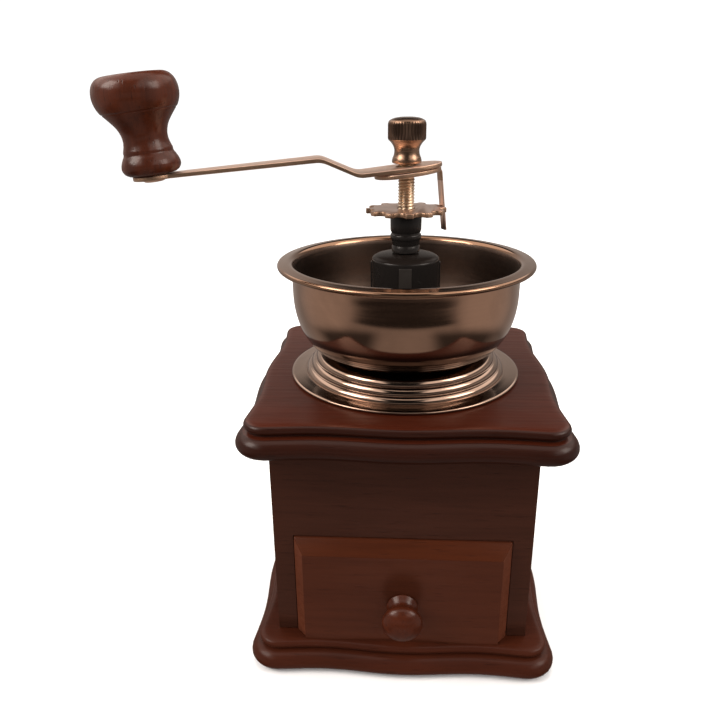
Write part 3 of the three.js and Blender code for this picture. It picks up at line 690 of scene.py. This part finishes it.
def thread(name, z0, z1):
    """A rod with a real helical thread between z0 and z1."""
    segments, per_turn = 60, 8
    rows = int((z1 - z0) / THREAD_PITCH * per_turn)
    verts = []
    for j in range(rows + 1):
        z = z0 + (z1 - z0) * j / rows
        fade = min(1, (z - z0) / THREAD_PITCH, (z1 - z) / THREAD_PITCH)
        for k in range(segments):
            phase = (z / THREAD_PITCH - k / segments) % 1
            r = THREAD_RADIUS - THREAD_DEPTH * fade * abs(2 * phase - 1)
            a = 2 * math.pi * k / segments
            verts.append((r * math.cos(a), r * math.sin(a), z))
    faces = [(j * segments + k, j * segments + (k + 1) % segments,
              (j + 1) * segments + (k + 1) % segments, (j + 1) * segments + k)
             for j in range(rows) for k in range(segments)]
    faces += [tuple(range(segments))[::-1],
              tuple(range(rows * segments, (rows + 1) * segments))]
    return tidy_mesh(new_object(name, verts, faces), 50)


shank_profile = [(0, 105.2), (3.2, 105.2), (3.45, 105.6), (3.45, 175.4), (3.2, 175.8), (0, 175.8)]
place(lathe("shaft_shank", shank_profile, 64), zinc, "copper_plated_steel", "crank", "shaft")
for name, z0, z1 in (("shaft_thread_top", 175.6, 214.8), ("shaft_thread_bottom", 95.0, 105.4)):
    place(thread(name, z0, z1), thread_metal, "copper_plated_steel", "crank")


def coil(name, radius, wire, z0, z1, turns):
    """A compression spring with closed end turns."""
    sides, per_turn, closed = 10, 40, 0.9
    steps = int(turns * per_turn)
    verts, faces = [], []
    for j in range(steps + 1):
        turn = turns * j / steps
        run = min(max((turn - closed) / (turns - 2 * closed), 0), 1)
        rise = wire * 2 * (min(turn, closed) / closed + max(turn - turns + closed, 0) / closed)
        z = z0 + wire + rise + (z1 - z0 - 6 * wire) * run
        a = 2 * math.pi * turn
        for k in range(sides):
            b = 2 * math.pi * k / sides
            r = radius + wire * math.cos(b)
            verts.append((r * math.cos(a), r * math.sin(a), z + wire * math.sin(b)))
    for j in range(steps):
        for k in range(sides):
            n = (k + 1) % sides
            faces.append((j * sides + k, j * sides + n, (j + 1) * sides + n, (j + 1) * sides + k))
    faces += [tuple(range(sides))[::-1], tuple(range(steps * sides, (steps + 1) * sides))]
    return tidy_mesh(new_object(name, verts, faces), 50)


low, high = (v.z / MM for v in map(Vector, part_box("spring")))
spring = coil("spring_coil", 5.6, 0.6, low, high, 7)
place(spring, zinc, "plain_steel", "crank", "spring")
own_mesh(spring)


DISC_LOW, DISC_HIGH, DISC_TURN = 186.0, 187.9, 20


def star_outline():
    """A disc with round notches in its edge."""
    radius, notch, count = 16.7, 2.6, 12
    centre = radius - 0.3
    half = math.acos((radius ** 2 + centre ** 2 - notch ** 2) / (2 * radius * centre))
    swing = math.asin(radius * math.sin(half) / notch)
    points = []
    for i in range(count):
        middle = 2 * math.pi * i / count
        for k in range(11):
            a = middle + math.pi + swing - 2 * swing * k / 10
            points.append((centre * math.cos(middle) + notch * math.cos(a),
                           centre * math.sin(middle) + notch * math.sin(a)))
        for k in range(1, 6):
            a = middle + half + (2 * math.pi / count - 2 * half) * k / 6
            points.append((radius * math.cos(a), radius * math.sin(a)))
    return points


disc = plate("star_disc_pressed", star_outline(), DISC_LOW, DISC_HIGH, spin(DISC_TURN))
cut(disc, bore(3.75, 180, 195))
place(tidy_mesh(apply_modifiers(bevel(disc, 0.28, 2, 50)), 40), disc_metal,
      "copper_plated_steel", "adjuster", "star_disc")

# ---------- crank ----------
# The arm lies along +X of its own frame, from the hub at 0 to the eye at REACH.
HUB_HEIGHT, CRANK_TURN, CRANK_TILT, LOCK_TURN = 203.0, 188, 6.0, 13.5
HUB, HUB_BACK, ARM_END, REACH = 10.5, 14.6, 5.2, 100.6
PLATE, HALF_GAP, HUB_BORE = 1.7, 0.15, 4.3
EYE, EYE_NECK = 8.2, 90.0
RISE, EASE, JOGGLE, BEND = 7.8, 1.15, (20.0, 34.0), 2.0
TAB_HALF, TAB_HALF_THICK = 2.1, 0.45
GRIP_TILT = 0.5
crank_frame = offset(0, 0, HUB_HEIGHT) @ spin(CRANK_TURN) @ spin(CRANK_TILT, "Y")


def arm_half(s):
    """Half the arm's width at a distance from the hub."""
    taper = min(max((s - 4) / (EYE_NECK - 4), 0), 1) ** 0.8
    return HUB + (ARM_END - HUB) * taper


def sharp_lift(s):
    """The arm's height at a distance from the hub, with sharp bends."""
    rise = min(max((s - JOGGLE[0]) / (JOGGLE[1] - JOGGLE[0]), 0), 1)
    return RISE * rise + EASE * max((s - JOGGLE[1]) / (REACH - JOGGLE[1]), 0)


def arm_lift(s):
    """The same with the bends rounded off, by averaging over a short stretch."""
    window = [(-1 + 2 * i / 12) * BEND for i in range(13)]
    return sum(sharp_lift(s + w) for w in window) / len(window)


def arm_outline(ends, tip, radius):
    """The rounded hub end, the two edges through the ends, and a round nose about the tip."""
    back = [(c * HUB_BACK, s * HUB) for c, s in arc(0, 0, 1, 180, 90, 24)]
    edge = [(s, arm_half(s)) for s in ends]
    nose = arc(tip, 0, radius, 140 if radius < HUB else 84, 0, 24)
    upper = back + edge + nose
    return upper + [(x, -y) for x, y in reversed(upper[1:-1])]


def crank_arm():
    outline = arm_outline([3 + 2.9 * i for i in range(31)], REACH, EYE)
    obj = plate("crank_arm_pressed", outline, HALF_GAP, HALF_GAP + PLATE)
    bm = bmesh.new()
    bm.from_mesh(obj.data)
    for s in [*range(16, 41), *range(46, 95, 8)]:
        bmesh.ops.bisect_plane(bm, geom=bm.verts[:] + bm.edges[:] + bm.faces[:], dist=1e-7,
                               plane_co=Vector((s, 0, 0)) * MM, plane_no=(1, 0, 0))
    for vert in bm.verts:
        vert.co.z += arm_lift(vert.co.x / MM) * MM
    bm.to_mesh(obj.data)
    bm.free()
    cut(obj, bore(HUB_BORE, -4, 6))
    apply_modifiers(bevel(obj, 0.3, 3, 50))
    obj.data.transform(crank_frame)
    return tidy_mesh(obj, 50)


def lock_plate():
    """A plate under the hub, with a strip that bends down at its back into the disc's notch."""
    obj = plate("lock_plate_pressed", arm_outline([3], 3, HUB), -HALF_GAP - PLATE, -HALF_GAP)
    cut(obj, bore(HUB_BORE, -5, 4))
    apply_modifiers(bevel(obj, 0.3, 3, 50))
    path = [(-9.0, -1.0), (-12.6, -1.0)]
    path += arc(-12.6, -2.85, 1.85, 90, 180, 8)[1:]
    path += [(-14.45, -z) for z in (6, 11, 16, 21, 26.7)]
    verts, faces = [], []
    for i, (x, z) in enumerate(path):
        ahead, behind = path[min(i + 1, len(path) - 1)], path[max(i - 1, 0)]
        direction = Vector((ahead[0] - behind[0], ahead[1] - behind[1])).normalized()
        nx, nz = -direction.y * TAB_HALF_THICK, direction.x * TAB_HALF_THICK
        for sign, side in ((1, -1), (1, 1), (-1, 1), (-1, -1)):
            verts.append((x + sign * nx, side * TAB_HALF, z + sign * nz))
    for i in range(len(path) - 1):
        faces += [(4 * i + k, 4 * i + (k + 1) % 4, 4 * i + 4 + (k + 1) % 4, 4 * i + 4 + k)
                  for k in range(4)]
    faces += [(3, 2, 1, 0), tuple(4 * len(path) - 4 + k for k in range(4))]
    tab = tidy_mesh(new_object("tab", verts, faces), 50)
    apply_modifiers(bevel(tab, 0.2, 2, 50))
    combine(obj, "UNION", [tab])
    obj.data.transform(crank_frame @ spin(LOCK_TURN))
    return tidy_mesh(obj, 50)


arm = place(crank_arm(), arm_metal, "copper_plated_steel", "crank", "crank_arm")
lock = place(lock_plate(), disc_metal, "copper_plated_steel", "crank", "lock_plate")
# The sheared edges of the pressed plates are rougher than their faces and painted darker.
for pressed in (arm, disc):
    repaint(pressed, sheared_metal, lambda at, facing: abs(facing.z) < 0.6)
repaint(lock, sheared_metal, lambda at, facing: abs(facing.z) < 0.6 and at.z > 199)

grip_frame = crank_frame @ offset(REACH, 0, RISE + EASE + HALF_GAP) @ spin(GRIP_TILT, "Y")
handle_profile = (
    [(0, 0), (8.4, 0)]
    + smooth_line([(9.2, 0.15), (10.5, 0.95), (11.35, 2.3), (11.5, 3.6), (11.1, 5.2), (10.4, 6.7),
                   (9.8, 7.7), (9.6, 8.3), (9.62, 8.9), (9.5, 9.6), (9.2, 10.5), (8.85, 11.8),
                   (8.65, 13.4), (8.8, 15.2), (9.35, 17.0), (10.15, 18.6), (11.3, 20.2),
                   (12.6, 21.8), (13.8, 23.2)], 5)
    + [(13.95, 23.42), (14.0, 23.7), (14.45, 23.95)]
    + smooth_line([(14.75, 24.3), (15.5, 25.7), (16.1, 27.4), (16.4, 29.2), (16.4, 31.0),
                   (16.0, 33.0), (15.2, 34.7), (13.9, 36.1), (12.3, 36.9), (10.8, 37.1)], 6)
    + [(6, 37.15), (0, 37.15)]
)
place(lathe("handle_turned", handle_profile, 128, matrix=grip_frame @ offset(0, 0, 2.0), sharp=40),
      turned_wood, "dark_wood", "handle", "handle_knob")
pin_profile = [(0, -1.05), (2.4, -1.05), (3.4, -0.95), (4.0, -0.75), (4.2, -0.5), (4.1, -0.32),
               (2.3, -0.3), (2.3, 23.0), (0, 23.6)]
place(lathe("handle_pin_rivet", pin_profile, 64, matrix=grip_frame), arm_metal,
      "copper_plated_steel", "crank", "handle_pin")


# ---------- cap nut ----------
NUT_SEAT, RIDGES, RIDGE_DEPTH = 205.8, 38, 0.42


def knurl(r, z, angle):
    """Ridges round the head, fading out at both ends of the knurled band."""
    z -= NUT_SEAT
    amount = min(max((z - 9.3) / 0.7, 0), 1) * min(max((16.0 - z) / 0.9, 0), 1)
    return r - RIDGE_DEPTH * amount * abs(2 * ((angle * RIDGES / (2 * math.pi)) % 1) - 1)


nut_profile = (
    [(0, 0), (5.4, 0), (5.8, 0.15), (6.0, 0.6), (6.0, 1.3), (5.85, 1.8)]
    + smooth_line([(5.75, 2.2), (5.3, 3.3), (5.08, 4.6), (5.2, 5.9), (5.75, 7.2), (6.6, 8.3),
                   (7.35, 9.0)], 5)
    + [(7.55, 9.3), (7.7, 9.8), (7.7, 11.5), (7.7, 13.2), (7.7, 14.9), (7.65, 15.4), (7.45, 16.0)]
    + smooth_line([(7.2, 16.45), (6.3, 17.0), (4.8, 17.5), (2.6, 17.82)], 4)
    + [(0, 17.88)]
)
nut = lathe("cap_nut_knurled", [(r, h + NUT_SEAT) for r, h in nut_profile], RIDGES * 6,
            radius_at=knurl, sharp=32)
place(nut, nut_metal, "bronze_plating", "cap", "cap_nut")
# The knurled band is painted darker, as painted shade in its grooves.
repaint(nut, knurl_metal_painted_shade, lambda at, facing: 215.3 < at.z < 221.0)

# ---------- floor and lights ----------
FLOOR_HALF = 6000
WARM = (1.0, 0.9, 0.82)


def floor_material(color):
    """Matt, with a tone that varies by a hair."""
    n = Nodes("pale_floor")
    cloud = n.noise(n.coords, 3, 2)
    n.link(n.mix(n.grey(cloud, 0.0, 1.0), color, [c * 0.985 for c in color]),
           n.shader.inputs["Base Color"])
    n.shader.inputs["Roughness"].default_value = 0.9
    n.shader.inputs["Specular IOR Level"].default_value = 0.1
    return n.material


corners = [(x * FLOOR_HALF, y * FLOOR_HALF, 0) for x, y in ((-1, -1), (1, -1), (1, 1), (-1, 1))]
floor = new_object("floor", corners, [(0, 1, 2, 3)])
floor.data.materials.append(floor_material((0.95, 0.95, 0.95)))
floor.visible_glossy = False
floor.visible_diffuse = False
floor.visible_shadow = False


def softbox(name, place_at, aim, size, power):
    """A square area light, in metres and watts."""
    light = bpy.data.lights.new(name, "AREA")
    light.size = size
    light.energy = power
    light.color = WARM
    obj = bpy.data.objects.new(name, light)
    scene.collection.objects.link(obj)
    obj.location = place_at
    obj.rotation_euler = (Vector(aim) - Vector(place_at)).to_track_quat("-Z", "Y").to_euler()
    return obj


softbox("left_softbox", (-0.75, -0.35, 0.75), (0, 0, 0.12), 0.5, 7.0)
softbox("right_softbox", (0.8, -0.25, 0.7), (0, 0, 0.12), 0.45, 4.0)
softbox("top_softbox", (0.0, 0.35, 1.1), (0, 0, 0.1), 0.8, 9.0).visible_glossy = False
# The light thrown back up by the pale table comes from below it, and the floor casts no shadow.
softbox("table_bounce", (0.0, -0.38, -0.22), (0, -0.06, 0.04), 0.1, 0.6).visible_glossy = False

# ---------- world ----------
# What the metal and the lacquer reflect. dx, dy and dz are the parts of a direction's unit vector:
# +dx is the photo's right, +dy is behind the object, and +dz is up.
world = bpy.data.worlds.new("studio")
scene.world = world
world.use_nodes = True
tree = world.node_tree
background = tree.nodes["Background"]


def chain(operation, first, *others):
    """Runs any number of values, each a number or an output, through one operation."""
    for other in others:
        first = math_node(tree, operation, first, other)
    return first


def times(*values):
    return chain("MULTIPLY", *values)


def plus(*values):
    return chain("ADD", *values)


def minus(a, b):
    return chain("SUBTRACT", a, b)


def largest(*values):
    return chain("MAXIMUM", *values)


def square(value):
    return chain("POWER", value, 2.0)


def fade(value, start, end):
    """0 before the start and 1 past the end, smoothly. The start may be the higher of the two."""
    node = tree.nodes.new("ShaderNodeMapRange")
    node.interpolation_type = "SMOOTHSTEP"
    tree.links.new(value, node.inputs["Value"])
    node.inputs["From Min"].default_value = start
    node.inputs["From Max"].default_value = end
    return node.outputs["Result"]


direction = tree.nodes.new("ShaderNodeTexCoord").outputs["Generated"]
axes = tree.nodes.new("ShaderNodeSeparateXYZ")
tree.links.new(direction, axes.inputs[0])
dx, dy, dz = axes.outputs
aside = chain("ABSOLUTE", dx, 0.0)

# A wall behind, brighter to the left, and dimmer below the horizon.
behind = times(fade(dy, -0.05, 0.45), fade(dz, 0.47, 0.39), minus(0.54, times(dx, 0.25)),
               plus(0.5, times(fade(dz, -0.02, 0.06), 0.5)))
# Walls at the two sides, dimmer towards the top.
sides = times(fade(aside, 0.45, 0.9), fade(dz, -0.60, -0.42), 0.53,
              plus(0.45, times(fade(dz, 0.22, 0.02), 0.55)))
# A bright panel high up on each side, and one straight above.
panels = times(fade(aside, 0.28, 0.42), fade(dz, 0.28, 0.46), 2.1)
zenith = times(fade(dz, 0.82, 0.94), 1.5)
# The pale table, which is dark low at the sides, where the top board hides it from the bowl.
hidden = times(fade(aside, 0.30, 0.55), fade(dz, -0.42, -0.58))
table = times(fade(dz, 0.12, -0.1), 0.36, minus(1.0, times(hidden, 0.85)))
# A dark ellipse in front, which makes the bowl's dark patch, and a little light everywhere.
ellipse = plus(square(times(aside, 1.5)), square(times(plus(dz, 0.345), 12.5)))
room = times(fade(ellipse, 1.5, 0.9), fade(dy, -0.20, -0.40))
level = largest(sides, behind, panels, zenith, table)
level = plus(times(level, minus(1.0, times(room, 0.97))), 0.012)
# Only glossy rays see all this. The rest see plain white, dimmer below the horizon.
plain = plus(0.30, times(fade(dz, -0.10, -0.06), 0.82))

glossy = tree.nodes.new("ShaderNodeLightPath").outputs["Is Glossy Ray"]
strength = tree.nodes.new("ShaderNodeMix")
tree.links.new(glossy, strength.inputs[0])
tree.links.new(plain, strength.inputs[2])
tree.links.new(level, strength.inputs[3])
tree.links.new(strength.outputs[0], background.inputs["Strength"])
tint = tree.nodes.new("ShaderNodeMix")
tint.data_type = "RGBA"
tree.links.new(glossy, tint.inputs[0])
tint.inputs[6].default_value = (1, 1, 1, 1)
tint.inputs[7].default_value = (1, 0.88, 0.80, 1)
tree.links.new(tint.outputs[2], background.inputs["Color"])

# ---------- camera ----------
# Fitted to the photo's outline: the lens in mm, the angles in degrees and the place in metres.
LENS, SENSOR = 34.99, 36.0
YAW, PITCH, ROLL = -3.78, 21.01, -0.66
CAMERA_PLACE = (-0.00047, -0.2942, 0.23324)

camera_data = bpy.data.cameras.new("camera")
camera_data.sensor_width = SENSOR
camera_data.lens = LENS
camera_data.clip_start = 0.01
camera = bpy.data.objects.new("camera", camera_data)
scene.collection.objects.link(camera)
yaw, pitch, roll = (math.radians(a) for a in (YAW, PITCH, ROLL))
look = Vector((math.sin(yaw) * math.cos(pitch), math.cos(yaw) * math.cos(pitch), -math.sin(pitch)))
right = Vector((math.cos(yaw), -math.sin(yaw), 0))
up = right.cross(look)
right, up = (math.cos(roll) * right + math.sin(roll) * up,
             math.cos(roll) * up - math.sin(roll) * right)
axes_of_view = Matrix((right, up, -look)).transposed()
camera.matrix_world = Matrix.Translation(CAMERA_PLACE) @ axes_of_view.to_4x4()
scene.camera = camera
scene.view_settings.view_transform = "Standard"
